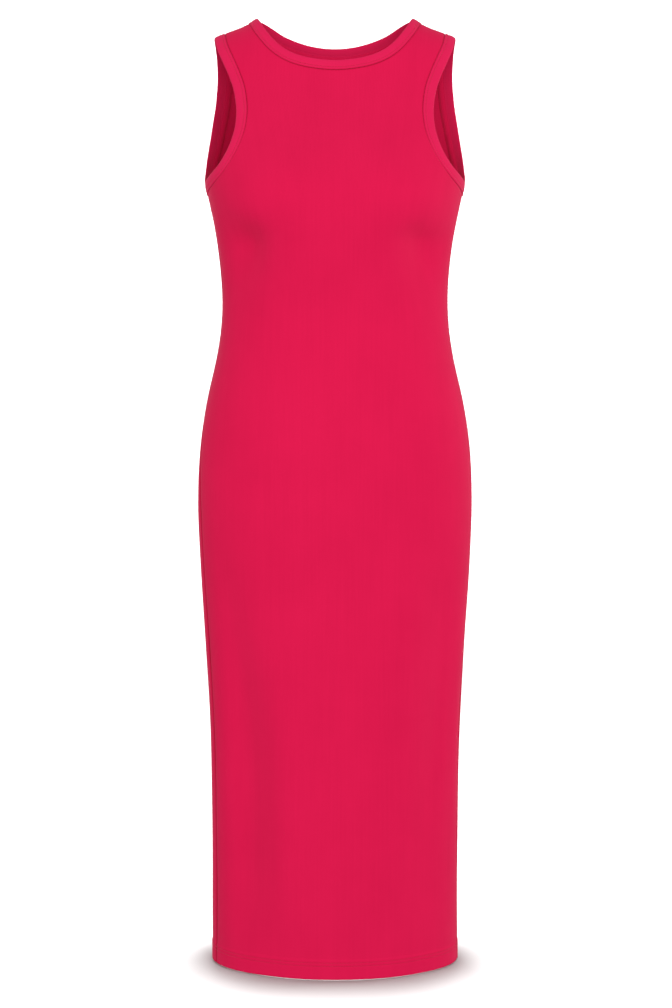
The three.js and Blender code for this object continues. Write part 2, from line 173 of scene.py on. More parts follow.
CREASE_ENDS = (-0.12, 0.35)

# Soft hollows under the bust and swells on it, wider above or below their middle. A depth under 0
# is a swell.
HOLLOW_COLUMNS = ("side", "across", "z", "wide", "above", "below", "depth")
HOLLOWS = (
    ("front", -112, -292, 40, 24, 60, 13.0),
    ("front", 106, -290, 38, 24, 60, 13.0),
    ("front", -70, -222, 42, 60, 34, -3.6),
    ("front", 70, -222, 42, 60, 34, -3.6),
)

# Slow unevenness of the cloth, and heights over the hem's edge where the cloth flattens
SLOW_RISE = 0.22
SLOW_Z = (37, 89)
SLOW_ACROSS = (61, 43)
HEM_FLATTER = 0.7
HEM_FLAT = (18, 60)

# Rows of the panels above the hem's edge, closest at the fold's turn and its stitches
HEM_ROWS = (
    0, 0.12, 0.3, 0.6, 1.0, 1.5, 2.2, 3.2, 4.6, 6.5, 9, 12, 14, 15, 15.7, 16.3, 16.9, 17.5, 18.3,
    19.1, 19.7, 20.3, 20.9, 21.5, 22.2, 23, 23.8, 24.8, 26.5, 29, 33,
)
HEM_STITCH_ROWS = (16.3, 20.3)
HEM_FOLD_RADIUS = 1.15
HEM_STITCH_DIP = 0.3
HEM_STITCH_SPREAD = 0.7

# How far from a sewn edge the closest rows and columns lie
EDGE_STEPS = (0.35, 0.8, 1.5, 2.6, 4.2)
SCOOP_COLUMNS = {"front": 20, "back": 18}
STRAP_COLUMNS = 10
STRAP_LENGTH = 30
NECK_COLUMNS = 36
NECK_CLOSING = 1.2
CHEST_COLUMNS = 2 * (STRAP_COLUMNS + NECK_COLUMNS)
CHEST_ROWS = 54
BODY_PITCH = 5
SCOOP_SHARE = 0.165

# The cloth dives into each seam and puckers a little beside it. The side seams pull in deeper.
# A dip is a depth and a roll its width. Shade is painted into the colour along each seam, darkest
# along the side seams; the share of painted shade and the widths over which it fades follow.
SEAM_DIP = 0.5
SEAM_ROLL = 1.0
SEAM_PAINTED_SHADE = 0.3
SIDE_DIP = 1.1
SIDE_ROLL = 2.2
SIDE_PAINTED_SHADE_WIDTH = 1.8
BAND_PAINTED_SHADE_WIDTH = 1.1
PUCKER_RISE = 0.13
PUCKER_LENGTH = 8.5
PUCKER_START = 1.5
PUCKER_FADE = 6
PUCKER_WANDER = 1.7
PUCKER_WANDER_LENGTH = 23

# Sections of the bands: distance from the seam as a share of the width, and height over the form
BAND_SECTION = (
    (0.0, -0.45), (0.012, 0.05), (0.04, 0.45), (0.08, 0.75), (0.13, 0.92), (0.18, 0.86), (0.22, 0.62),
    (0.255, 0.42), (0.29, 0.6), (0.34, 0.82), (0.42, 0.95), (0.54, 1.0), (0.66, 0.97), (0.77, 0.88),
    (0.86, 0.7), (0.93, 0.42), (0.98, 0.02), (1.0, -0.45), (0.98, -0.92), (0.93, -1.32), (0.86, -1.55),
    (0.7, -1.72), (0.5, -1.78), (0.32, -1.7), (0.255, -1.5), (0.18, -1.68), (0.08, -1.62), (0.012, -1.3),
)
BAND_STITCH_ACROSS = 0.255
BAND_STITCH_HEIGHT = 0.5
BAND_PITCH = 1.6
BAND_VALLEY_WIDTH = 0.09
BAND_RIPPLE = 0.05
BAND_CROWN = 0.6
BAND_CROWN_WIDTH = 0.3
BAND_SLOW_LENGTHS = (19, 31)
BAND_SLOW_ACROSS = 0.12
BAND_SLOW_RISE = 0.07

# Sewing thread. Each stitch has rings at shares of its length, swollen and lifted in its middle.
STITCH_PITCH = 3.2
STITCH_LENGTH = 2.7
THREAD_SIDES = 6
THREAD_RINGS = np.array([0.0, 0.14, 0.5, 0.86, 1.0])
THREAD_SWELL = np.array([0.45, 0.9, 1.0, 0.9, 0.45])
THREAD_SINK = np.array([-0.28, 0.02, 0.1, 0.02, -0.28])
BAND_THREAD = 0.27
HEM_THREAD = 0.25
LOCK_THREAD = 0.2
HEM_THREAD_LIFT = 0.06

# The looper thread of the hem: how far past the two rows it reaches, and how deep it lies
LOOPER_BELOW = 0.6
LOOPER_ABOVE = 2.6
LOOPER_SINK = (0.5, 1.0)

# Trimmed and overlocked edges inside: distance from the seam and height over the form
SIDE_ALLOWANCE = (
    (-1.2, -1.3), (2, -1.28), (6.2, -1.3), (6.6, -1.75), (6.2, -2.2), (2, -2.35), (-1.2, -2.1),
)
BAND_ALLOWANCE = (
    (-6.2, -1.3), (-2, -1.3), (1.6, -1.85), (1.9, -2.2),
    (1.2, -2.5), (-2, -2.4), (-6.2, -2.2), (-6.6, -1.75),
)
SIDE_ALLOWANCE_ENDS = (1.5, 1)
SIDE_ALLOWANCE_ROWS = 320
BAND_ALLOWANCE_PITCH = 2.4
SHOULDER_ALLOWANCE_END = 1.5
SHOULDER_ALLOWANCE_ROWS = 24
SHOULDER_ROUND = 140
LOCK_REACH = (2.6, 6.7)
SIDE_LOCK_DEPTH = 2.3
BAND_LOCK_DEPTH = 2.35
LOCK_PITCH = 2.1
LOCK_LEAN = 0.9
LOCK_ENDS = (1, 3)

# Waves for each metre of cloth: a wale every 1.35 mm and a course every 0.95 mm
WAVES_PER_UNIT = 20 / (2 * math.pi)
WALE_SCALE = 1 / 0.00135 / WAVES_PER_UNIT
COURSE_SCALE = 1 / 0.00095 / WAVES_PER_UNIT

# Colours
PANEL_LIGHT = (0.69, 0.0088, 0.071, 1)
PANEL_DARK = (0.64, 0.0074, 0.064, 1)
BAND_LIGHT = (0.72, 0.0140, 0.088, 1)
BAND_DARK = (0.67, 0.0115, 0.079, 1)
# The colour of painted shade, mixed in between the wales and along the seams
PAINTED_SHADE_COLOUR = (0.40, 0.001, 0.024, 1)
SHEEN_TINT = (1.0, 0.36, 0.5, 1.0)
THREAD_LIGHT = (0.60, 0.009, 0.060, 1)
THREAD_DARK = (0.46, 0.005, 0.038, 1)
FLOOR_COLOUR = (0.45, 0.45, 0.45, 1)

# Studio, in metres
FLOOR_Z = (HEM_Z - 1.5) * MM
CAMERA_PLACE = (0.0013, -2.0, -0.607)
CAMERA_LENS = 55.8
WORLD_LIGHT = 0.57
MIDDLE = (0, 0, -0.55)
LIGHTS = (
    ("key", (1.0, -2.5, 0.25), MIDDLE, (1.0, 1.2), 23),
    ("fill", (0.0, -2.7, -0.4), MIDDLE, (1.6, 1.6), 24),
    ("top", (0.2, -0.6, 2.2), (0, 0, -0.6), (2.0, 2.0), 1.5),
    ("rim_left_side", (1.7, 0.6, -0.4), MIDDLE, (0.6, 2.0), 12),
    ("rim_right_side", (-1.9, -0.5, -0.15), MIDDLE, (0.6, 1.4), 6),
    ("back", (-0.9, 2.6, 0.7), MIDDLE, (1.2, 1.2), 20),
)
BACKDROP_LIGHTS = (
    ("floor_light", (0.0, 0.25, 12.0), (0, -0.1, -1.2), (1.4, 1.4), 4300),
    ("backdrop_light", (0, 3.4, 1.0), (0, 5.4, 1.0), (4.0, 1.0), 150),
)


def rows_of(side, table, columns):
    """A side's rows of a table, each as a dict of its named columns."""
    return [dict(zip(columns, row)) for row in table if row[0] == side]


def bell(off, width):
    """A soft bump that is 1 in its middle and falls to 0.37 at its width."""
    return np.exp(-((off / width) ** 2))


def smooth(low, high, value):
    t = np.clip((value - low) / (high - low), 0, 1)
    return t * t * (3 - 2 * t)


def through(at, values):
    """Smooth curve through values at rising places."""
    at = np.asarray(at, float)
    values = np.asarray(values, float)
    gap = np.diff(at)
    rise = np.diff(values) / gap
    inner = (gap[:-1] * rise[1:] + gap[1:] * rise[:-1]) / (gap[:-1] + gap[1:])
    slope = np.concatenate([rise[:1], inner, rise[-1:]])

    def curve(place):
        v = np.clip(place, at[0], at[-1])
        i = np.clip(np.searchsorted(at, v) - 1, 0, len(at) - 2)
        t = (v - at[i]) / gap[i]
        start = (1 + 2 * t) * (1 - t) ** 2 * values[i]
        end = t * t * (3 - 2 * t) * values[i + 1]
        return start + end + gap[i] * (t * (1 - t) ** 2 * slope[i] - t * t * (1 - t) * slope[i + 1])

    return curve


def eased(at, values):
    """The curve through values, blurred so that light shows no step at a knot."""
    curve = through(at, values)
    fine = np.arange(at[0], at[-1] + 0.5)
    line = curve(fine)
    reach = 3 * RING_BLUR
    low = 2 * line[0] - line[reach:0:-1]
    high = 2 * line[-1] - line[-2:-reach - 2:-1]
    weight = np.exp(-0.5 * (np.arange(-reach, reach + 1) / RING_BLUR) ** 2)
    soft = np.convolve(np.concatenate([low, line, high]), weight / weight.sum(), "valid")
    return lambda place: np.interp(place, fine, soft)


RING = {name: [row[k] for row in RINGS] for k, name in enumerate(RING_COLUMNS)}
half_at = eased(RING["z"], RING["half"])
depth_at = {side: eased(RING["z"], RING[side]) for side in ("front", "back")}
square_at = {side: eased(RING["z"], RING[side + "_square"]) for side in ("front", "back")}
shoulder_at = through([x for x, z in SHOULDER], [z for x, z in SHOULDER])


def form(theta, q):
    """Points of the outer form. theta goes round from the middle of the front over +X. Up to the
    cap q is the height, and above it q rolls over the shoulder line at RIDGE_Q."""
    theta, q = np.broadcast_arrays(np.asarray(theta, float), np.asarray(q, float))
    front = np.cos(theta) >= 0
    level = np.minimum(q, CAP_Z)
    square = np.where(front, square_at["front"](level), square_at["back"](level))
    s = np.sin(theta)
    c = np.cos(theta)
    m = (np.abs(s) ** square + np.abs(c) ** square) ** (-1 / square)
    x = half_at(level) * m * s
    roll = np.maximum(q - CAP_Z, 0) / CAP_REACH
    z = np.where(q > CAP_Z, CAP_Z + (shoulder_at(np.abs(x)) - CAP_Z) * np.sin(roll), q)
    depth = np.where(front, depth_at["front"](z), depth_at["back"](z))
    return np.stack([x, -depth * m * c * np.cos(roll), z], -1)


PROBE_ANGLE = 1e-3
PROBE_Q = 0.1
STEP_ROUNDS = 4


def unit(vectors):
    return vectors / np.linalg.norm(vectors, axis=-1, keepdims=True)


def frame_at(theta, q):
    """Change of the form's point for each unit of theta and of q, and the outward normal."""
    round_ = (form(theta + PROBE_ANGLE, q) - form(theta - PROBE_ANGLE, q)) / (2 * PROBE_ANGLE)
    up = (form(theta, q + PROBE_Q) - form(theta, q - PROBE_Q)) / (2 * PROBE_Q)
    return round_, up, unit(np.cross(round_, up))


def lifted(theta, q, height):
    """Points at a height over places of the form, and the normals there."""
    _, _, normal = frame_at(theta, q)
    return form(theta, q) + normal * np.asarray(height)[..., None], normal


def step_on(theta, q, step):
    """The places on the form closest to where short steps end, found in a few rounds."""
    goal = form(theta, q) + step
    for _ in range(STEP_ROUNDS):
        round_, up, _ = frame_at(theta, q)
        left = goal - form(theta, q)
        rr = (round_ * round_).sum(-1)
        ru = (round_ * up).sum(-1)
        uu = (up * up).sum(-1)
        along_round = (left * round_).sum(-1)
        along_up = (left * up).sum(-1)
        scale = rr * uu - ru * ru
        theta = theta + (along_round * uu - along_up * ru) / scale
        q = q + (along_up * rr - along_round * ru) / scale
    return theta, q


def place_of(point, side):
    """alpha and q of points on or near the form. alpha is the angle from the middle of the side."""
    x, y, z = point.T
    ahead = -y if side == "front" else y
    level = np.minimum(z, CAP_Z)
    across = x / half_at(level)
    square = square_at[side](level)
    ease = np.maximum(1 - np.minimum(np.abs(across), 1) ** square, 1e-9) ** (1 / square)
    lift = (z - CAP_Z) / (shoulder_at(np.abs(x)) - CAP_Z)
    roll = np.arctan2(lift, ahead / (depth_at[side](z) * ease))
    low = z <= CAP_Z
    alpha = np.where(low, np.arctan2(across, ahead / depth_at[side](z)), np.arctan2(across, ease))
    return alpha, np.where(low, z, CAP_Z + CAP_REACH * roll)


def seen_at(rows, side):
    """The points of the form seen at x and z from the front or from the back."""
    x, z = np.array(rows, float).T
    level = np.minimum(z, CAP_Z)
    square = square_at[side](level)
    across = np.minimum(np.abs(x) / half_at(level), 1)
    ease = (1 - across ** square) ** (1 / square)
    lift = np.where(z > CAP_Z, (z - CAP_Z) / (shoulder_at(np.abs(x)) - CAP_Z), 0)
    y = depth_at[side](z) * ease * np.sqrt(np.maximum(1 - lift * lift, 0))
    return np.stack([x, -y if side == "front" else y, z], -1)


def closed_curve(points, knot):
    """Points of the closed centripetal curve through points, at knots counted from 0."""
    count = len(points)
    i = np.floor(knot).astype(int)
    t = (knot - i)[:, None]
    p = [points[(i + k) % count] for k in (-1, 0, 1, 2)]
    d = [np.sqrt(np.linalg.norm(b - a, axis=-1, keepdims=True)) for a, b in zip(p, p[1:])]
    start = (p[1] - p[0]) / d[0] - (p[2] - p[0]) / (d[0] + d[1]) + (p[2] - p[1]) / d[1]
    end = (p[2] - p[1]) / d[1] - (p[3] - p[1]) / (d[1] + d[2]) + (p[3] - p[2]) / d[2]
    start, end = start * d[1], end * d[1]
    cube = 2 * p[1] - 2 * p[2] + start + end
    square = -3 * p[1] + 3 * p[2] - 2 * start - end
    return p[1] + start * t + square * t ** 2 + cube * t ** 3


def lengths_along(points):
    return np.concatenate([[0], np.cumsum(np.linalg.norm(np.diff(points, axis=0), axis=-1))])


def picked(rows, run, goal):
    """The rows' values at the lengths goal, where run holds the length at each row."""
    return np.stack([np.interp(goal, run, rows[:, k]) for k in range(rows.shape[1])], -1)


def spread(length, count, fine_start=False, fine_end=False):
    """Shares from 0 to 1 of a run of that length, closest together at its sewn ends."""
    steps = np.array(EDGE_STEPS)
    low = steps if fine_start else steps[:0]
    high = length - steps[::-1] if fine_end else steps[:0]
    start = low[-1] if fine_start else 0
    stop = high[0] if fine_end else length
    middle = np.linspace(start, stop, count - len(low) - len(high) + 1)
    return np.unique(np.concatenate([[0], low, middle, high, [length]])) / length


def seam_nodes(points, start, end, side, count, fine_start=False, fine_end=False, closing=1):
    """alpha and q of nodes along a stretch of a seam curve, from one of its knots to another. They
    lie closer together towards the end when closing is over 1."""
    fine = 40 * abs(end - start) + 1
    alpha, q = place_of(closed_curve(points, np.linspace(start, end, fine)), side)
    run = lengths_along(form(alpha if side == "front" else math.pi - alpha, q))
    goal = run[-1] * (1 - (1 - spread(run[-1], count, fine_start, fine_end)) ** closing)
    return np.stack([np.interp(goal, run, alpha), np.interp(goal, run, q)], -1)


def flipped(rows):
    return tuple((-x, z) for x, z in reversed(rows))


def neck_seam():
    front, back = NECK_SEAM["front"], NECK_SEAM["back"]
    top = np.array([[NECK_SHOULDER_X, 0, shoulder_at(NECK_SHOULDER_X)]])
    points = np.concatenate([
        seen_at(front, "front"), top, seen_at(back, "back"), seen_at(flipped(back[:-1]), "back"),
        top * (-1, 1, 1), seen_at(flipped(front[1:]), "front"),
    ])
    peak = len(front)
    return {
        "front": seam_nodes(points, 0, peak, "front", NECK_COLUMNS, closing=NECK_CLOSING),
        "back": seam_nodes(points, peak + len(back), peak, "back", NECK_COLUMNS, closing=NECK_CLOSING),
    }


def armhole_seam():
    front, back = ARMHOLE_SEAM["front"], ARMHOLE_SEAM["back"]
    top = np.array([[ARMHOLE_SHOULDER_X, 0, shoulder_at(ARMHOLE_SHOULDER_X)]])
    low = np.array([[half_at(UNDERARM_Z), 0, UNDERARM_Z]])
    points = np.concatenate([top, seen_at(front, "front"), low, seen_at(back, "back")])
    under = 1 + len(front)
    corner = {"front": 1 + SCOOP_END["front"], "back": under + 1 + SCOOP_END["back"]}
    peak = {"front": 0, "back": len(points)}
    return {
        side: {
            "scoop": seam_nodes(points, under, corner[side], side, SCOOP_COLUMNS[side], fine_start=True),
            "upright": seam_nodes(points, corner[side], peak[side], side, CHEST_ROWS, fine_end=True),
        }
        for side in ("front", "back")
    }


NECK = neck_seam()
ARMHOLE = armhole_seam()


def forward_at(z, sign):
    """How far the side seam at -X or +X lies in front of the side line, as an angle."""
    forward = FORWARD_ANGLE * smooth(-UNDERARM_Z, -FORWARD_FULL_Z, -z)
    return forward + (sign < 0) * SWING_ANGLE * smooth(-SWING_TOP_Z, -SWING_FULL_Z, -z)


def mirrored(nodes):
    return nodes * (-1, 1)


def level_line(start, end, shares):
    return start + (end - start) * shares[:, None]


def blend_grid(bottom, top, left, right, u):
    """A grid of alpha and q between four edges. u is each column's share of the way across."""
    v = ((left[:, 1] - left[0, 1]) / (left[-1, 1] - left[0, 1]))[:, None, None]
    u = u[None, :, None]
    up_down = (1 - v) * bottom[None] + v * top[None]
    sideways = (1 - u) * left[:, None] + u * right[:, None]
    low = (1 - u) * bottom[0] + u * bottom[-1]
    high = (1 - u) * top[0] + u * top[-1]
    return up_down + sideways - (1 - v) * low - v * high


def skirt_heights():
    fine = HEM_Z + np.array(HEM_ROWS, float)
    stop = UNDERARM_Z - EDGE_STEPS[-1]
    plain = np.linspace(fine[-1], stop, round((stop - fine[-1]) / BODY_PITCH) + 1)[1:]
    ends = [UNDERARM_Z - step for step in reversed(EDGE_STEPS[:-1])]
    return np.concatenate([fine, plain, ends, [UNDERARM_Z]])


def girth_scale(side, z):
    """Millimetres of cloth for each unit of alpha, near enough."""
    level = np.minimum(z, CAP_Z)
    return (half_at(level) + depth_at[side](level)) / 2


def fold_rise(side, x, z):
    """Height of the troughs that the part's source has too."""
    rise = np.zeros_like(x)
    hold = 1 - (1 - HEM_HOLD) * smooth(-HOLD_TOP_Z, -HEM_Z, -z)
    for fold in rows_of(side, FOLDS, FOLD_COLUMNS):
        down = smooth(-fold["top"], -fold["full"], -z)
        middle = fold["x"] + fold["lean"] * (fold["top"] - z) / (fold["top"] - HEM_Z)
        rise -= fold["depth"] * hold * down * bell(x - middle, fold["width"])
    return rise


def crease_rise(side, across, z):
    """Height of the creases and further troughs at places of a panel."""
    rise = np.zeros_like(z)
    for crease in rows_of(side, CREASES, CREASE_COLUMNS):
        start = np.array([crease["across_0"], crease["z_0"]], float)
        way = np.array([crease["across_1"], crease["z_1"]], float) - start
        length = np.linalg.norm(way)
        way /= length
        along = ((across - start[0]) * way[0] + (z - start[1]) * way[1]) / length
        off = (across - start[0]) * -way[1] + (z - start[1]) * way[0]
        bow = crease["width"] * CREASE_BOW * np.sin(math.pi * np.clip(along, 0, 1))
        ends = smooth(*CREASE_ENDS, along) * smooth(*CREASE_ENDS, 1 - along)
        rise -= crease["depth"] * ends * bell(off - bow, crease["width"])
    return rise


def hollow_rise(side, across, z):
    """Height of the soft hollows and swells at places of a panel."""
    rise = np.zeros_like(z)
    for hollow in rows_of(side, HOLLOWS, HOLLOW_COLUMNS):
        up = z - hollow["z"]
        tall = np.where(up > 0, hollow["above"], hollow["below"])
        rise -= hollow["depth"] * bell(across - hollow["across"], hollow["wide"]) * bell(up, tall)
    return rise


def hem_hold(z):
    """The doubled hem lies flatter than the single cloth above it."""
    low, high = HEM_FLAT
    return 1 - HEM_FLATTER * smooth(-(HEM_Z + high), -(HEM_Z + low), -z)


def cloth_rise(side, theta, q):
    """Height of the cloth's outer face over the form, away from seams and hem."""
    spot = form(theta, q)
    alpha = theta if side == "front" else theta - math.pi
    alpha = (alpha + math.pi) % (2 * math.pi) - math.pi
    x, z = spot[..., 0], spot[..., 2]
    across = alpha * girth_scale(side, z)
    slow = np.sin(z / SLOW_Z[0] + across / SLOW_ACROSS[0])
    slow *= np.sin(across / SLOW_ACROSS[1] - z / SLOW_Z[1])
    creases = crease_rise(side, across, z) + SLOW_RISE * slow + hollow_rise(side, across, z)
    return fold_rise(side, x, z) + creases * hem_hold(z)


def hem_rise(z):
    """Swell of the doubled hem, its rounded fold and the dips of its two rows of stitches."""
    above = z - HEM_Z
    swell = HEM_SWELL * (1 - smooth(HEM_TURN, HEM_TURN + HEM_STEP, above))
    off = np.clip(HEM_FOLD_RADIUS - above, 0, HEM_FOLD_RADIUS)
    fold = HEM_FOLD_RADIUS - np.sqrt(HEM_FOLD_RADIUS ** 2 - off ** 2)
    dip = sum(bell(above - row, HEM_STITCH_SPREAD) for row in HEM_STITCH_ROWS)
    return swell - HEM_STITCH_DIP * dip, fold


def seam_distance(points, lines, pitch=0.25):
    """Distance of each point from the nearest sewn edge, and the place along that edge."""
    spots, places = [], []
    for line in lines:
        run = lengths_along(line)
        goal = np.linspace(0, run[-1], int(run[-1] / pitch) + 2)
        spots.append(picked(line, run, goal))
        places.append(goal)
    spots = np.concatenate(spots)
    places = np.concatenate(places)
    tree = KDTree(len(spots))
    for k, spot in enumerate(spots.tolist()):
        tree.insert(spot, k)
    tree.balance()
    found = [tree.find(point) for point in points.tolist()]
    return np.array([f[2] for f in found]), places[[f[1] for f in found]]


def wall_faces(blocks, count):
    """Quads of an outer and an inner face over blocks of node numbers, and of the rims between."""
    quads = np.concatenate([
        np.stack([b[:-1, :-1], b[:-1, 1:], b[1:, 1:], b[1:, :-1]], -1).reshape(-1, 4) for b in blocks
    ])
    edges = {}
    for quad in quads.tolist():
        for start, end in zip(quad, quad[1:] + quad[:1]):
            if edges.pop((end, start), None) is None:
                edges[(start, end)] = True
    rims = np.array([(end, start, start + count, end + count) for start, end in edges])
    return np.concatenate([quads, quads[:, ::-1] + count, rims])


def tube_faces(points, closed, flip):
    """Quads of a tube over rows of points, and its two end faces where it isn't closed. flip puts
    their corners in the opposite order."""
    number = np.arange(points[..., 0].size).reshape(points.shape[:2])
    here = number if closed else number[:-1]
    ahead = np.roll(number, -1, 0) if closed else number[1:]
    quads = np.stack([here, ahead, np.roll(ahead, -1, 1), np.roll(here, -1, 1)], -1)
    ends = [] if closed else [number[0].tolist(), number[-1][::-1].tolist()]
    faces = quads.reshape(-1, 4).tolist() + ends
    return [face[::-1] for face in faces] if flip else faces


def add_mesh(name, points, faces, material, uv=None, shade=None):
    """A piece of the dress from points in millimetres. uv is in millimetres for each face corner,
    and seen from the side where it isn't given."""
    if uv is None:
        corners = [n for face in faces for n in face]
        uv = np.stack([points[corners, 0] + points[corners, 1], points[corners, 2]], -1)
    mesh = bpy.data.meshes.new(name)
    mesh.from_pydata((points * MM).tolist(), [], [list(face) for face in faces])
    layer = mesh.uv_layers.new(name="cloth")
    layer.data.foreach_set("uv", np.asarray(uv, np.float32).ravel() * MM)
    # The seam attribute holds the share of painted shade along the seams
    if shade is not None:
        attribute = mesh.attributes.new("seam", "FLOAT", "POINT")
        attribute.data.foreach_set("value", np.asarray(shade, np.float32))
    mesh.shade_smooth()
    mesh.materials.append(material)
    piece = bpy.data.objects.new(name, mesh)
    bpy.context.scene.collection.objects.link(piece)
    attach(piece, "root")
    return piece


def panel(side, material):
    """A panel as a thin closed shell from hem to shoulder, sewn edges turned in."""
    turn = 0 if side == "front" else math.pi
    scoop, upright = ARMHOLE[side]["scoop"], ARMHOLE[side]["upright"]
    heights = skirt_heights()
    quarter = math.pi / 2
    sign = 1 if side == "front" else -1
    left = np.stack([-quarter + sign * forward_at(heights, -sign), heights], -1)
    right = np.stack([quarter - sign * forward_at(heights, sign), heights], -1)
    chest_width = 2 * upright[0, 0] * girth_scale(side, upright[0, 1])
    chest_shares = spread(chest_width, CHEST_COLUMNS, True, True)
    chest = level_line(mirrored(upright)[0], upright[0], chest_shares)
    skirt_top = np.concatenate([mirrored(scoop)[:-1], chest, scoop[::-1][1:]])
    hem_width = math.pi * girth_scale(side, HEM_Z)
    near = spread(SCOOP_SHARE * hem_width, SCOOP_COLUMNS[side], fine_start=True) * SCOOP_SHARE
    mid = np.linspace(SCOOP_SHARE, 1 - SCOOP_SHARE, CHEST_COLUMNS + 1)
    hem_shares = np.concatenate([near[:-1], mid, 1 - near[::-1][1:]])
    hem = level_line(left[0], right[0], hem_shares)
    strap_shares = spread(STRAP_LENGTH, STRAP_COLUMNS, fine_end=True)
    strap = level_line(NECK[side][-1], upright[-1], strap_shares)
    chest_top = np.concatenate([
        mirrored(strap)[::-1][:-1], mirrored(NECK[side])[::-1][:-1], NECK[side], strap[1:],
    ])
    skirt = blend_grid(hem, skirt_top, left, right, hem_shares)
    bodice = blend_grid(chest, chest_top, mirrored(upright), upright, chest_shares)

    columns = skirt.shape[1]
    first = np.arange(skirt.shape[0] * columns).reshape(skirt.shape[:2])
    reach = SCOOP_COLUMNS[side]
    rest = first.size + np.arange((bodice.shape[0] - 1) * bodice.shape[1]).reshape(-1, bodice.shape[1])
    second = np.concatenate([first[-1:, reach:reach + bodice.shape[1]], rest])
    places = np.concatenate([skirt.reshape(-1, 2), bodice[1:].reshape(-1, 2)])
    theta, q = places[:, 0] + turn, places[:, 1].copy()
    round_, up, normal = frame_at(theta, q)
    edge = np.zeros(len(places))
    edge[first[:, 0]], edge[first[:, -1]] = 1, -1
    theta = theta + edge * SEAM_GAP / 2 / np.linalg.norm(round_, axis=-1)
    q = np.where(q > RIDGE_Q - 1e-6, q - SEAM_GAP / 2 / np.linalg.norm(up, axis=-1), q)

    spot = form(theta, q)
    sides = (first[:, 0], first[:, -1])
    bands = (first[-1, :reach + 1], first[-1, -reach - 1:], second[:, 0], second[:, -1], second[-1])
    away_side, along_side = seam_distance(spot, [spot[line] for line in sides])
    away_band, along_band = seam_distance(spot, [spot[line] for line in bands])
    away = np.minimum(away_side, away_band)
    along = np.where(away_side < away_band, along_side, along_band)
    swell, fold = hem_rise(spot[:, 2])
    roll = np.maximum(SEAM_DIP * bell(away_band, SEAM_ROLL), SIDE_DIP * bell(away_side, SIDE_ROLL))
    wander = PUCKER_WANDER * np.sin(along / PUCKER_WANDER_LENGTH)
    pucker = np.sin(2 * math.pi * along / PUCKER_LENGTH + wander)
    pucker *= PUCKER_RISE * (1 - bell(away, PUCKER_START)) * np.exp(-away / PUCKER_FADE)
    rise = cloth_rise(side, theta, q) + pucker
    in_hem = 1 - smooth(HEM_TURN, HEM_TURN + HEM_INSIDE_STEP, spot[:, 2] - HEM_Z)
    outer = rise + swell - fold - roll
    inner = rise - CLOTH - (HEM_INSIDE - CLOTH) * in_hem + fold
    inner = np.minimum(inner, outer - THINNEST)
    points = np.concatenate([spot + normal * outer[:, None], spot + normal * inner[:, None]])
    faces = wall_faces([first, second], len(places))
    flat = np.stack([places[:, 0] * girth_scale(side, spot[:, 2]), q], -1)
    uv = np.concatenate([flat, flat])[faces.ravel()]
    # Painted shade along the seams, strongest along the side seams
    shade = np.maximum(SEAM_PAINTED_SHADE * bell(away_band, SEAM_ROLL), bell(away_side, SIDE_PAINTED_SHADE_WIDTH))
    return add_mesh(side + "_cloth", points, faces, material, uv, np.tile(shade, 2))


def placed(nodes, side, sign):
    theta = sign * nodes[:, 0] if side == "front" else math.pi - sign * nodes[:, 0]
    return np.stack([theta, nodes[:, 1]], -1)


def closed_loop(places, pitch):
    """Evenly spaced theta and q round a closed loop of places."""
    places = np.concatenate([places, places[:1]])
    spin = np.unwrap(places[:, 0])
    run = lengths_along(form(spin, places[:, 1]))
    count = round(run[-1] / pitch)
    goal = np.linspace(0, run[-1], count + 1)[:-1]
    return np.interp(goal, run, spin), np.interp(goal, run, places[:, 1]), run[-1]


def neck_loop():
    """From the middle of the front over +X, the back and -X. A shoulder is there twice, since its
    angle changes from the front's to the back's."""
    front, back = NECK["front"], NECK["back"]
    return np.concatenate([
        placed(front, "front", 1), placed(back, "back", 1)[::-1],
        placed(back, "back", -1)[1:], placed(front, "front", -1)[::-1][:-1],
    ])


def armhole_loop(sign):
    """From the underarm up the front, over the shoulder and down the back."""
    whole = {
        side: np.concatenate([ARMHOLE[side]["scoop"][:-1], ARMHOLE[side]["upright"]])
        for side in ("front", "back")
    }
    return np.concatenate([
        placed(whole["front"], "front", sign), placed(whole["back"], "back", sign)[::-1][:-1],
    ])


def inward_steps(theta, q, inward):
    """Unit steps in the form's face from a closed loop towards the opening that it goes round."""
    spots = form(theta, q)
    ahead = unit(np.roll(spots, -1, 0) - np.roll(spots, 1, 0))
    _, _, normal = frame_at(theta, q)
    return np.cross(normal, ahead) * inward


def swept(theta, q, step, section, flip, closed=True):
    """Points of a section swept along places of the form: step times off, lifted by rise."""
    layers = [
        lifted(*step_on(theta, q, step * np.asarray(off)[..., None]), rise)[0] for off, rise in section
    ]
    points = np.stack(layers, 1)
    return points.reshape(-1, 3), tube_faces(points, closed, flip)


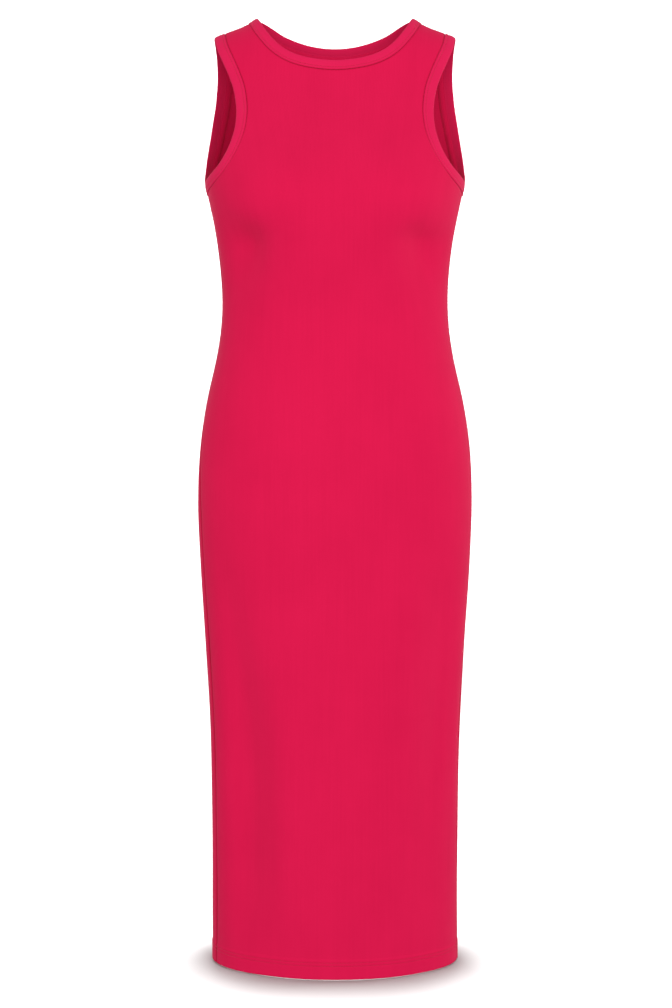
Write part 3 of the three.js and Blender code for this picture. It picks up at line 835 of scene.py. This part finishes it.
def band(name, places, width, inward, material):
    """A folded band round an opening, with a ridge and a stitched valley beside its seam."""
    theta, q, length = closed_loop(places, BAND_PITCH)
    step = inward_steps(theta, q, inward)
    count = len(theta)
    along = np.arange(count) * length / count
    full = width - SEAM_GAP
    ripple = np.sin(2 * math.pi * along / STITCH_PITCH)
    short, long = BAND_SLOW_LENGTHS
    slow = np.sin(along / short) * np.sin(along / long + 1)
    section = []
    for across, rise in BAND_SECTION:
        near = bell(across - BAND_STITCH_ACROSS, BAND_VALLEY_WIDTH)
        crown = bell(across - BAND_CROWN, BAND_CROWN_WIDTH)
        uneven = BAND_RIPPLE * near * ripple + BAND_SLOW_RISE * crown * slow
        section.append((
            SEAM_GAP + full * across + BAND_SLOW_ACROSS * crown * slow,
            rise + (uneven if rise > 0 else 0 * along),
        ))
    points, faces = swept(theta, q, step, section, inward < 0)
    columns = len(section)
    offs = np.array([SEAM_GAP + full * across for across, rise in BAND_SECTION])
    corners = np.array(faces)
    flat = np.stack([along[corners // columns], offs[corners % columns]], -1)
    ahead = flat[:, :, 0]
    over_end = (ahead.max(1) - ahead.min(1) > length / 2)[:, None] & (ahead < length / 2)
    flat[:, :, 0] += length * over_end
    # Painted shade beside the band's seam
    shade = np.tile(SEAM_PAINTED_SHADE * bell(offs, BAND_PAINTED_SHADE_WIDTH), count)
    return add_mesh(name, points, faces, material, flat.reshape(-1, 2), shade)


def threads(name, paths, normals, radius, material):
    """Short threads. paths holds the points at THREAD_RINGS of each, normals the way up there."""
    ahead = unit(np.gradient(paths, axis=1))
    aside = unit(np.cross(ahead, normals))
    turn = np.arange(THREAD_SIDES) * 2 * math.pi / THREAD_SIDES
    swell = (radius * THREAD_SWELL)[None, :, None, None]
    lift = THREAD_SINK[None, :, None, None]
    points = paths[:, :, None] + normals[:, :, None] * (lift + swell * np.sin(turn)[None, None, :, None])
    points = points + aside[:, :, None] * swell * np.cos(turn)[None, None, :, None]
    one = np.arange(len(THREAD_RINGS) * THREAD_SIDES).reshape(-1, THREAD_SIDES)
    after = np.roll(one, -1, 1)
    quads = np.stack([one[:-1], after[:-1], after[1:], one[1:]], -1).reshape(-1, 4)[:, ::-1]
    caps = [one[0].tolist(), one[-1][::-1].tolist()]
    faces = []
    for start in np.arange(len(paths)) * one.size:
        faces += (quads + start).tolist()
        faces += [[n + int(start) for n in cap] for cap in caps]
    return add_mesh(name, points.reshape(-1, 3), faces, material)


def row_of_stitches(line, normals):
    """Paths and normals of stitches along a closed line of points."""
    line = np.concatenate([line, line[:1]])
    normals = np.concatenate([normals, normals[:1]])
    run = lengths_along(line)
    count = round(run[-1] / STITCH_PITCH)
    start = np.arange(count) * run[-1] / count
    goal = start[:, None] + THREAD_RINGS[None, :] * STITCH_LENGTH
    return picked(line, run, goal), unit(picked(normals, run, goal))


def crossings(first, second):
    """Straight paths of stitches from first points to second ones."""
    share = THREAD_RINGS[None, :, None]
    return first[:, None] * (1 - share) + second[:, None] * share


def for_each_ring(normals):
    return np.repeat(normals[:, None], len(THREAD_RINGS), 1)


def band_stitches(name, places, width, inward, material):
    theta, q, _ = closed_loop(places, BAND_PITCH)
    step = inward_steps(theta, q, inward)
    full = width - SEAM_GAP
    there = step_on(theta, q, step * (SEAM_GAP + full * BAND_STITCH_ACROSS))
    paths, normals = row_of_stitches(*lifted(*there, BAND_STITCH_HEIGHT))
    return threads(name, paths, normals, BAND_THREAD, material)


def round_at(z, count=900):
    """theta of a level line round the whole dress, from the side seam at -X over the front."""
    start = -math.pi / 2 + forward_at(z, -1)
    return start + np.arange(count) * 2 * math.pi / count


def hem_line(above, depth):
    """Points and normals round the hem at a height above its edge, depth under the outer face."""
    z = HEM_Z + above
    theta = round_at(z)
    q = np.full(len(theta), float(z))
    half_turn = (theta - theta[0]) % (2 * math.pi)
    on_front = half_turn < math.pi - forward_at(z, -1) - forward_at(z, 1)
    rise = np.where(on_front, cloth_rise("front", theta, q), cloth_rise("back", theta, q))
    swell, _ = hem_rise(np.array([float(z)]))
    return lifted(theta, q, rise + swell - depth)


def hem_stitches(material):
    """Two rows of needle stitches outside, and the looper thread that crosses between them inside."""
    paths, normals = [], []
    for above in HEM_STITCH_ROWS:
        row, up = row_of_stitches(*hem_line(above, -HEM_THREAD_LIFT))
        paths.append(row)
        normals.append(up)
    inside = HEM_SWELL + HEM_INSIDE
    low, up = hem_line(HEM_STITCH_ROWS[0] - LOOPER_BELOW, inside - LOOPER_SINK[0])
    high, _ = hem_line(HEM_STITCH_ROWS[1] + LOOPER_ABOVE, inside - LOOPER_SINK[1])
    run = lengths_along(low)
    half = STITCH_PITCH / 2
    goal = np.arange(round(run[-1] / STITCH_PITCH) * 2) * half
    goal = goal[goal < run[-1] - 2 * STITCH_PITCH]
    even = (np.arange(len(goal)) % 2)[:, None] == 0
    start = np.where(even, picked(low, run, goal), picked(high, run, goal))
    end = np.where(even, picked(high, run, goal + half), picked(low, run, goal + half))
    paths = np.concatenate(paths + [crossings(start, end)])
    normals = np.concatenate(normals + [for_each_ring(-picked(up, run, goal))])
    return threads("hem_stitches", paths, normals, HEM_THREAD, material)


def overlock(name, theta, q, step, depth, material):
    """Overlock threads that wrap the trimmed edge to which the steps lead."""
    def line(off):
        points, normal = lifted(*step_on(theta, q, step * off), -depth)
        return points, -normal

    first, up = line(LOCK_REACH[0])
    second, _ = line(LOCK_REACH[1])
    run = lengths_along(first)
    goal = np.arange(LOCK_ENDS[0], run[-1] - LOCK_ENDS[1], LOCK_PITCH)
    paths = crossings(picked(first, run, goal), picked(second, run, goal + LOCK_LEAN))
    normals = for_each_ring(unit(picked(up, run, goal)))
    threads(name + "_overlock", paths, normals, LOCK_THREAD, material)


def side_allowance(name, sign, material, thread):
    """The sewn edges of a side seam, turned to the back inside the dress."""
    low_end, high_end = SIDE_ALLOWANCE_ENDS
    z = np.linspace(HEM_Z + low_end, UNDERARM_Z - high_end, SIDE_ALLOWANCE_ROWS)
    theta = sign * (math.pi / 2 - forward_at(z, sign))
    round_, _, normal = frame_at(theta, z)
    step = unit(round_) * sign
    points, faces = swept(theta, z, step, SIDE_ALLOWANCE, sign < 0, closed=False)
    in_hem = np.repeat(z < HEM_Z + HEM_TURN + 1, len(SIDE_ALLOWANCE))[:, None]
    points = points - np.repeat(normal, len(SIDE_ALLOWANCE), 0) * in_hem * (HEM_INSIDE - CLOTH)
    add_mesh(name, points, faces, material)
    above = z > HEM_Z + HEM_TURN + 2
    overlock(name, theta[above], z[above], step[above], SIDE_LOCK_DEPTH, thread)


def band_allowance(name, places, inward, material, thread):
    """The sewn edges of a band's seam, turned under the panel inside the dress."""
    theta, q, _ = closed_loop(places, BAND_ALLOWANCE_PITCH)
    step = inward_steps(theta, q, inward)
    points, faces = swept(theta, q, step, BAND_ALLOWANCE, inward < 0)
    add_mesh(name, points, faces, material)
    overlock(name, theta, q, -step, BAND_LOCK_DEPTH, thread)


def shoulder_allowance(name, sign, material):
    """The sewn edges of a shoulder seam, turned to the back inside the dress."""
    end = SHOULDER_ALLOWANCE_END
    x = np.linspace(NECK_SHOULDER_X + end, ARMHOLE_SHOULDER_X - end, SHOULDER_ALLOWANCE_ROWS) * sign
    points = []
    for y, rise in SIDE_ALLOWANCE:
        z = shoulder_at(np.abs(x)) + rise - y * y / SHOULDER_ROUND
        points.append(np.stack([x, np.full_like(x, y), z], -1))
    points = np.stack(points, 1)
    faces = tube_faces(points, False, sign > 0)
    add_mesh(name, points.reshape(-1, 3), faces, material)


class Shader:
    """A material's node tree."""

    def __init__(self, name):
        self.material = bpy.data.materials.new(name)
        self.material.use_nodes = True
        self.tree = self.material.node_tree
        self.surface = self.tree.nodes["Principled BSDF"]

    def add(self, kind, values=None, **settings):
        node = self.tree.nodes.new(kind)
        for key, value in settings.items():
            setattr(node, key, value)
        for key, value in (values or {}).items():
            self.feed(node.inputs[key], value)
        return node

    def feed(self, socket, value):
        if isinstance(value, bpy.types.NodeSocket):
            self.tree.links.new(value, socket)
        else:
            socket.default_value = value

    def math(self, operation, first, second):
        return self.add("ShaderNodeMath", {0: first, 1: second}, operation=operation).outputs[0]

    def total(self, *parts):
        """The sum of sockets, each times its weight."""
        terms = [self.math("MULTIPLY", socket, weight) for socket, weight in parts]
        whole = terms[0]
        for term in terms[1:]:
            whole = self.math("ADD", whole, term)
        return whole

    def ranged(self, value, low, high, to_low, to_high):
        """The value carried from one range over to another."""
        values = {0: value, 1: low, 2: high, 3: to_low, 4: to_high}
        return self.add("ShaderNodeMapRange", values).outputs[0]

    def wave(self, place, direction, values):
        values = {"Vector": place, **values}
        return self.add("ShaderNodeTexWave", values, bands_direction=direction).outputs["Fac"]

    def bump(self, height, strength, distance):
        values = {"Strength": strength, "Distance": distance, "Height": height}
        return self.add("ShaderNodeBump", values).outputs[0]

    def surfaced(self, values):
        """The material, once its surface has these values and sockets."""
        for key, value in values.items():
            self.feed(self.surface.inputs[key], value)
        return self.material

    def mix(self, share, first, second):
        node = self.add("ShaderNodeMix", data_type="RGBA")
        self.feed(node.inputs[0], share)
        self.feed(node.inputs[6], first)
        self.feed(node.inputs[7], second)
        return node.outputs[2]


def knit(name, light, dark, shade_colour, sheen, bump):
    """Fine double knit with wales along the cloth's length, with shade painted into its colour between
    the wales and along the seams. Scales count for each metre of cloth.
    """
    shader = Shader(name)
    place = shader.add("ShaderNodeUVMap", uv_map="cloth").outputs[0]

    def noise(across, along, detail=2.0, rough=0.5):
        spot = shader.add("ShaderNodeMapping", {0: place, "Scale": (across, along, 1)}).outputs[0]
        return shader.add(
            "ShaderNodeTexNoise", {"Vector": spot, "Scale": 1.0, "Detail": detail, "Roughness": rough},
        ).outputs[0]

    wale = shader.wave(
        place, "X", {"Scale": WALE_SCALE, "Distortion": 0.6, "Detail": 1.0, "Detail Scale": 0.4},
    )
    course = shader.wave(
        place, "Y", {"Scale": COURSE_SCALE, "Distortion": 0.4, "Detail": 1.0, "Detail Scale": 0.6},
    )
    streak = noise(420, 9)
    wide = noise(70, 5, 3.0)
    cloud = noise(14, 11, 3.0, 0.6)
    fuzz = noise(2600, 2600, 3.0, 0.7)

    tone = shader.total((streak, 0.25), (wide, 0.2), (cloud, 0.55))
    colour = shader.mix(shader.ranged(tone, 0.36, 0.72, 0.0, 1.0), dark, light)
    # Painted shade in the valleys between the wales
    painted_groove_shade = shader.math("MULTIPLY", shader.math("SUBTRACT", 1.0, wale), 0.12)
    colour = shader.mix(painted_groove_shade, colour, shade_colour)
    # Painted shade along the seams, read from the seam attribute and mixed into the colour
    seam = shader.add("ShaderNodeAttribute", attribute_name="seam").outputs["Fac"]
    height = shader.total((wale, 1.0), (course, 0.35), (fuzz, 0.5), (streak, 0.5))
    return shader.surfaced({
        "Base Color": shader.mix(shader.math("MULTIPLY", seam, 0.75), colour, shade_colour),
        "Roughness": shader.ranged(fuzz, 0.3, 0.7, 0.72, 0.9),
        "Normal": shader.bump(height, bump, 0.00016),
        "Specular IOR Level": 0.04,
        "Sheen Weight": sheen,
        "Sheen Roughness": 0.42,
        "Sheen Tint": SHEEN_TINT,
    })


def thread(name, light, dark):
    """Twisted sewing thread in the cloth's colour."""
    shader = Shader(name)
    place = shader.add("ShaderNodeUVMap", uv_map="cloth").outputs[0]
    twist = shader.wave(place, "DIAGONAL", {"Scale": 900.0, "Distortion": 1.0})
    return shader.surfaced({
        "Base Color": shader.mix(twist, dark, light),
        "Normal": shader.bump(twist, 0.5, 0.00008),
        "Roughness": 0.55,
        "Specular IOR Level": 0.15,
        "Sheen Weight": 0.1,
    })


def sewn_band(label, inside, places, width, inward):
    """A band with its stitches and the seam edges under it. Gives the cloth and the stitches."""
    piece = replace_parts(band(label + "_cloth", places, width, inward, band_knit), label)
    stitches = band_stitches(label + "_stitches", places, width, inward, sewing)
    band_allowance(inside, places, inward, panel_knit, sewing)
    return piece, stitches


panel_knit = knit("panel_knit", PANEL_LIGHT, PANEL_DARK, PAINTED_SHADE_COLOUR, sheen=0.12, bump=0.26)
band_knit = knit("band_knit", BAND_LIGHT, BAND_DARK, PAINTED_SHADE_COLOUR, sheen=0.15, bump=0.4)
sewing = thread("sewing_thread", THREAD_LIGHT, THREAD_DARK)

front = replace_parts(panel("front", panel_knit), "front_panel")
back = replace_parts(panel("back", panel_knit), "back_panel")
neck_piece, neck_sewing = sewn_band("neck_band", "neck_seam_inside", neck_loop(), NECK_BAND_WIDTH, 1)
holes = [
    sewn_band("armhole_band_" + hand, "armhole_seam_inside_" + hand, armhole_loop(sign),
              ARMHOLE_BAND_WIDTH, -sign)
    for hand, sign in (("left", 1), ("right", -1))
]
hem_sewing = hem_stitches(sewing)
side_allowance("side_seam_inside_left", 1, panel_knit, sewing)
side_allowance("side_seam_inside_right", -1, panel_knit, sewing)
shoulder_allowance("shoulder_seam_inside_left", 1, panel_knit)
shoulder_allowance("shoulder_seam_inside_right", -1, panel_knit)


def plain(name, colour, roughness):
    shader = Shader(name)
    place = shader.add("ShaderNodeTexCoord").outputs["Object"]
    grain = shader.add("ShaderNodeTexNoise", {"Vector": place, "Scale": 3.0}).outputs[0]
    darker = tuple(0.985 * c for c in colour[:3]) + (1,)
    return shader.surfaced({
        "Base Color": shader.mix(grain, darker, colour),
        "Roughness": roughness,
        "Specular IOR Level": 0.1,
    })


def sweep_floor():
    """A pale floor that curves up into a backdrop behind the dress."""
    start, turn, radius, top, half = -4.5, 4.2, 1.2, 3.6, 5.0
    arc = np.linspace(0, math.pi / 2, 24)
    profile = [(start, FLOOR_Z), (turn, FLOOR_Z)]
    profile += [(turn + radius * math.sin(a), FLOOR_Z + radius * (1 - math.cos(a))) for a in arc[1:]]
    profile.append((turn + radius, top))
    points = [(x, y, z) for y, z in profile for x in (-half, half)]
    faces = [(2 * k, 2 * k + 1, 2 * k + 3, 2 * k + 2) for k in range(len(profile) - 1)]
    mesh = bpy.data.meshes.new("floor")
    mesh.from_pydata(points, [], faces)
    mesh.shade_smooth()
    mesh.materials.append(plain("floor_white", FLOOR_COLOUR, 0.9))
    floor = bpy.data.objects.new("floor", mesh)
    bpy.context.scene.collection.objects.link(floor)
    floor.visible_diffuse = False
    backdrop = bpy.data.collections.new("backdrop")
    backdrop.objects.link(floor)
    return backdrop


def soft_light(name, place, target, size, power, only=None):
    """An area light. only is a collection of the objects that it lights, where that isn't all."""
    data = bpy.data.lights.new(name, "AREA")
    data.shape = "RECTANGLE"
    data.size, data.size_y = size
    data.energy = power
    light = bpy.data.objects.new(name, data)
    light.location = place
    light.rotation_mode = "QUATERNION"
    light.rotation_quaternion = (Vector(target) - Vector(place)).to_track_quat("-Z", "Y")
    light.visible_camera = False
    if only is not None:
        light.light_linking.receiver_collection = only
    bpy.context.scene.collection.objects.link(light)


def studio():
    scene = bpy.context.scene
    scene.view_settings.view_transform = "Standard"
    scene.view_settings.look = "None"
    world = bpy.data.worlds.new("studio")
    scene.world = world
    world.use_nodes = True
    sky = world.node_tree.nodes["Background"]
    sky.inputs["Color"].default_value = (1, 1, 1, 1)
    sky.inputs["Strength"].default_value = WORLD_LIGHT
    backdrop = sweep_floor()
    for row in LIGHTS:
        soft_light(*row)
    for row in BACKDROP_LIGHTS:
        soft_light(*row, only=backdrop)
    data = bpy.data.cameras.new("camera")
    data.lens = CAMERA_LENS
    data.clip_start, data.clip_end = 0.05, 50
    camera = bpy.data.objects.new("camera", data)
    camera.location = CAMERA_PLACE
    camera.rotation_euler = (math.pi / 2, 0, 0)
    scene.collection.objects.link(camera)
    scene.camera = camera


studio()
